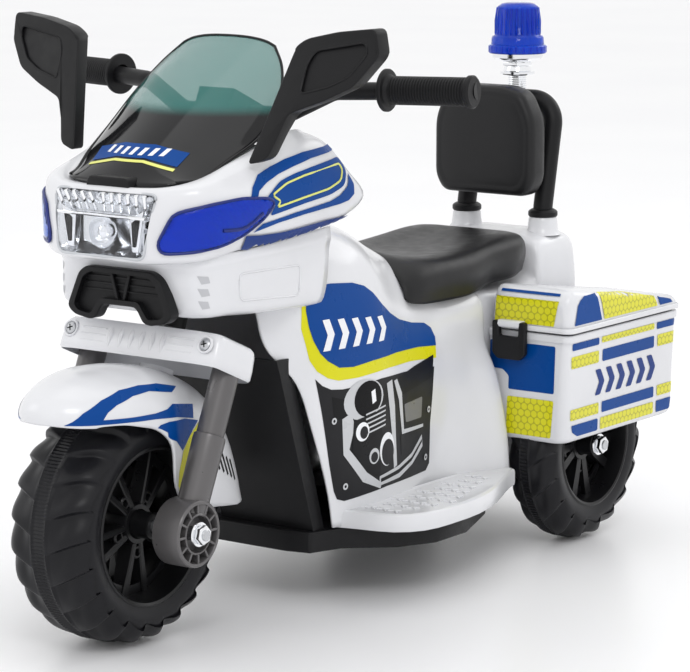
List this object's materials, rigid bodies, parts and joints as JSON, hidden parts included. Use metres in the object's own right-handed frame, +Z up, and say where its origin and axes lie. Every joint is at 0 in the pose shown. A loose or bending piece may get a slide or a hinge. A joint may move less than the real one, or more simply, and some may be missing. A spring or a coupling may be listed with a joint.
{
  "type": "battery ride-on motorcycle",
  "caption": "Toddler ride-on motorcycle with fairing, smoked windscreen, steered front fork, padded backrest, blue beacon and two lidded side boxes over the rear wheels.",
  "frame": {"origin": "on the ground under the middle of the bounding box", "axes": "+X to the rider's left, -Y forward, +Z up"},
  "size_m": [0.4842, 0.815, 0.545],
  "materials": {
    "white_plastic": "glossy moulded white",
    "black_plastic": "fine-grained black moulding",
    "seat_plastic": "fine-grained black, soft sheen",
    "wheel_plastic": "semi-gloss black moulding",
    "grip_rubber": "ribbed black rubber",
    "grey_fork": "satin grey moulding",
    "smoked_screen": "smoked clear plastic",
    "clear_lens": "clear plastic",
    "blue_lens": "blue clear plastic",
    "chrome": "bright",
    "steel": "zinc plated",
    "button_plastic": "red moulding"
  },
  "bodies": {
    "chassis": {"body_shell": "white_plastic", "front_cowl": "black_plastic", "undertray": "black_plastic", "footboard_left": "white_plastic", "footboard_right": "white_plastic", "fairing": "white_plastic", "windscreen": "smoked_screen", "dash_cowl": "black_plastic", "headlight_reflector": "chrome", "headlight_bulb": "clear_lens", "headlight_lens": "clear_lens", "indicator_left": "blue_lens", "indicator_right": "blue_lens", "intake_grille": "black_plastic", "mirror_left": "black_plastic", "mirror_right": "black_plastic", "seat": "seat_plastic", "backrest_hoop": "black_plastic", "backrest_pad": "seat_plastic", "pad_bracket": "black_plastic", "beacon_pole": "black_plastic", "beacon_mount": "chrome", "beacon_dome": "blue_lens", "beacon_lamp": "clear_lens", "side_box_left": "white_plastic", "side_box_right": "white_plastic", "hinge_pins": "steel", "rear_axle": "steel", "rear_axle_nuts": "steel", "gearbox_case": "black_plastic", "drive_motor": "steel", "battery": "black_plastic", "speaker": "black_plastic", "head_tube": "black_plastic"},
    "steering": {"steering_column": "steel", "handlebar": "steel", "handlebar_clamp": "black_plastic", "grip_left": "grip_rubber", "grip_right": "grip_rubber", "fork_shroud": "white_plastic", "shroud_screws": "steel", "fork_tubes": "grey_fork", "fork_leg_left": "grey_fork", "fork_leg_right": "grey_fork", "front_axle": "steel", "front_axle_nuts": "steel", "front_fender": "white_plastic"},
    "front_wheel": {"front_tyre": "wheel_plastic", "front_rim": "wheel_plastic"},
    "rear_wheel_left": {"rear_tyre_left": "wheel_plastic", "rear_rim_left": "wheel_plastic"},
    "rear_wheel_right": {"rear_tyre_right": "wheel_plastic", "rear_rim_right": "wheel_plastic"},
    "box_lid_left": {"lid_left": "white_plastic"},
    "box_lid_right": {"lid_right": "white_plastic"},
    "box_latch_left": {"latch_left": "black_plastic"},
    "box_latch_right": {"latch_right": "black_plastic"},
    "pedal": {"throttle_pedal": "black_plastic"},
    "horn": {"horn_button": "button_plastic"},
    "music": {"music_button": "button_plastic"}
  },
  "joints": [
    {"name": "steer", "type": "hinge", "parent": "chassis", "child": "steering", "pos_m": [0, -0.295, 0.108], "axis": [0, 0.3987, 0.9171], "range_deg": [-16, 16]},
    {"name": "front_wheel_spin", "type": "hinge", "parent": "steering", "child": "front_wheel", "pos_m": [0, -0.295, 0.108], "axis": [1, 0, 0], "continuous": true},
    {"name": "rear_wheel_left_spin", "type": "hinge", "parent": "chassis", "child": "rear_wheel_left", "pos_m": [0.1195, 0.281, 0.0985], "axis": [1, 0, 0], "continuous": true},
    {"name": "rear_wheel_right_spin", "type": "hinge", "parent": "chassis", "child": "rear_wheel_right", "pos_m": [-0.1195, 0.281, 0.0985], "axis": [1, 0, 0], "continuous": true},
    {"name": "lid_left_hinge", "type": "hinge", "parent": "chassis", "child": "box_lid_left", "pos_m": [0.105, 0.405, 0.225], "axis": [-1, 0, 0], "range_deg": [0, 85]},
    {"name": "lid_right_hinge", "type": "hinge", "parent": "chassis", "child": "box_lid_right", "pos_m": [-0.105, 0.405, 0.225], "axis": [-1, 0, 0], "range_deg": [0, 85]},
    {"name": "latch_left_hinge", "type": "hinge", "parent": "box_lid_left", "child": "box_latch_left", "pos_m": [0.105, 0.18, 0.23], "axis": [-1, 0, 0], "range_deg": [0, 100]},
    {"name": "latch_right_hinge", "type": "hinge", "parent": "box_lid_right", "child": "box_latch_right", "pos_m": [-0.105, 0.18, 0.23], "axis": [-1, 0, 0], "range_deg": [0, 100]},
    {"name": "pedal_press", "type": "hinge", "parent": "chassis", "child": "pedal", "pos_m": [-0.124, 0.02, 0.085], "axis": [1, 0, 0], "range_deg": [0, 9], "stiffness_Nm_per_rad": 0.8, "springref_deg": -5.73},
    {"name": "horn_press", "type": "slide", "parent": "chassis", "child": "horn", "axis": [0, 0, -1], "range_m": [0, 0.002], "stiffness_N_per_m": 300, "springref_m": -0.0008},
    {"name": "music_press", "type": "slide", "parent": "chassis", "child": "music", "axis": [0, 0, -1], "range_m": [0, 0.002], "stiffness_N_per_m": 300, "springref_m": -0.0008}
  ]
}
